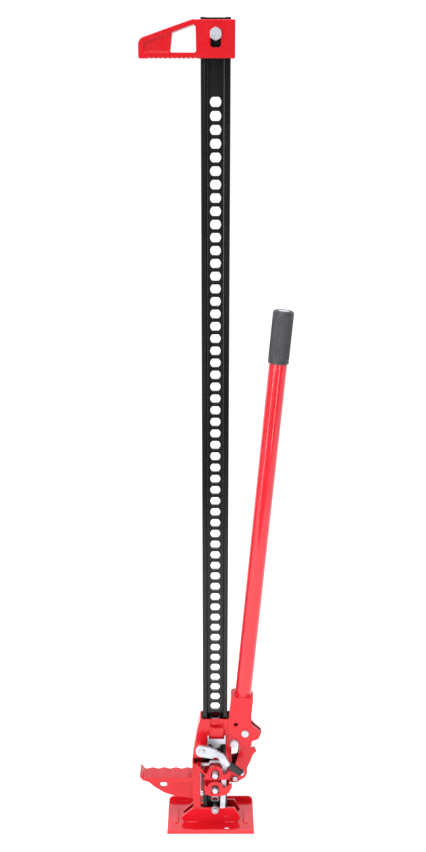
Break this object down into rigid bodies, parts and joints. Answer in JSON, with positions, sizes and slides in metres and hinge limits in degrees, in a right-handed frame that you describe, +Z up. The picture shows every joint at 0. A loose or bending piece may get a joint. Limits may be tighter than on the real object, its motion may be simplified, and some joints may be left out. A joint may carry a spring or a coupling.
{
  "type": "high-lift jack",
  "caption": "Upright high-lift farm jack: perforated steel bar on a base plate, two climbing runners with a lifting toe, pump handle and top clamp.",
  "frame": {"origin": "on the ground under the middle of the upright bar", "axes": "+Z up along the bar, +X towards the handle side, the lifting toe points to -X, -Y is the front with the climbing pins"},
  "size_m": [0.2921, 0.119, 1.523],
  "materials": {
    "red_paint": "gloss",
    "black_paint": "gloss",
    "zinc": "satin",
    "spring_steel": "satin",
    "black_rubber": "matte",
    "grip_rubber": "matte"
  },
  "bodies": {
    "mast": {"base_plate": "red_paint", "base_bracket": "red_paint", "base_bolt": "zinc", "base_nut": "zinc", "base_washers": "zinc", "steel_bar": "black_paint", "top_clamp": "red_paint", "top_clamp_bolt": "zinc", "top_clamp_nut": "zinc", "top_clamp_washer": "zinc"},
    "small_runner": {"small_runner": "red_paint", "pitman_lower_pin": "zinc", "lower_pin_spring": "spring_steel"},
    "large_runner": {"large_runner": "red_paint", "shear_bolt": "zinc", "shear_nut": "zinc", "latch_bolt": "zinc", "pin_yoke": "zinc", "upper_pin_spring": "spring_steel", "long_spring": "spring_steel"},
    "upper_pin": {"upper_climbing_pin": "zinc", "upper_cross_pin": "zinc"},
    "lower_pin": {"lower_climbing_pin": "zinc", "lower_cross_pin": "zinc"},
    "latch": {"reversing_latch": "zinc", "latch_sleeve": "black_rubber"},
    "reversing_bar": {"reversing_bar": "zinc"},
    "handle": {"handle_socket": "red_paint", "handle_pipe": "red_paint", "handle_grip": "grip_rubber", "handle_bolt": "zinc", "pitman_upper_pin": "zinc", "upper_pin_ring": "zinc"},
    "pitman": {"pitman": "red_paint"}
  },
  "joints": [
    {"name": "climb", "type": "slide", "parent": "mast", "child": "small_runner", "axis": [0, 0, 1], "range_m": [0, 1.1501]},
    {"name": "stroke", "type": "slide", "parent": "small_runner", "child": "large_runner", "axis": [0, 0, 1], "range_m": [0, 0.0434]},
    {"name": "handle_pump", "type": "hinge", "parent": "large_runner", "child": "handle", "pos_m": [0.0385, 0, 0.193], "axis": [0, 1, 0], "range_deg": [0, 90]},
    {"name": "pitman_swing", "type": "hinge", "parent": "handle", "child": "pitman", "pos_m": [0.0602, 0, 0.2147], "axis": [0, 1, 0], "range_deg": [-90, 0]},
    {"name": "latch_flip", "type": "hinge", "parent": "large_runner", "child": "latch", "pos_m": [-0.0266, -0.047, 0.1906], "axis": [0, -1, 0], "range_deg": [0, 30]},
    {"name": "reversing_bar_slide", "type": "slide", "parent": "large_runner", "child": "reversing_bar", "axis": [0, 0, -1], "range_m": [0, 0.007], "deforming": ["long_spring"]},
    {"name": "upper_pin_slide", "type": "slide", "parent": "large_runner", "child": "upper_pin", "axis": [0, 1, 0], "range_m": [0, 0.01], "stiffness_N_per_m": 400, "deforming": ["upper_pin_spring"]},
    {"name": "lower_pin_slide", "type": "slide", "parent": "small_runner", "child": "lower_pin", "axis": [0, 1, 0], "range_m": [0, 0.01], "stiffness_N_per_m": 400, "deforming": ["lower_pin_spring"]}
  ],
  "couplings": [
    {"joint": "stroke", "follows": "handle_pump", "m_per_rad": 0.027629},
    {"joint": "pitman_swing", "follows": "handle_pump", "ratio": -1},
    {"joint": "reversing_bar_slide", "follows": "latch_flip", "m_per_rad": 0.013369}
  ]
}
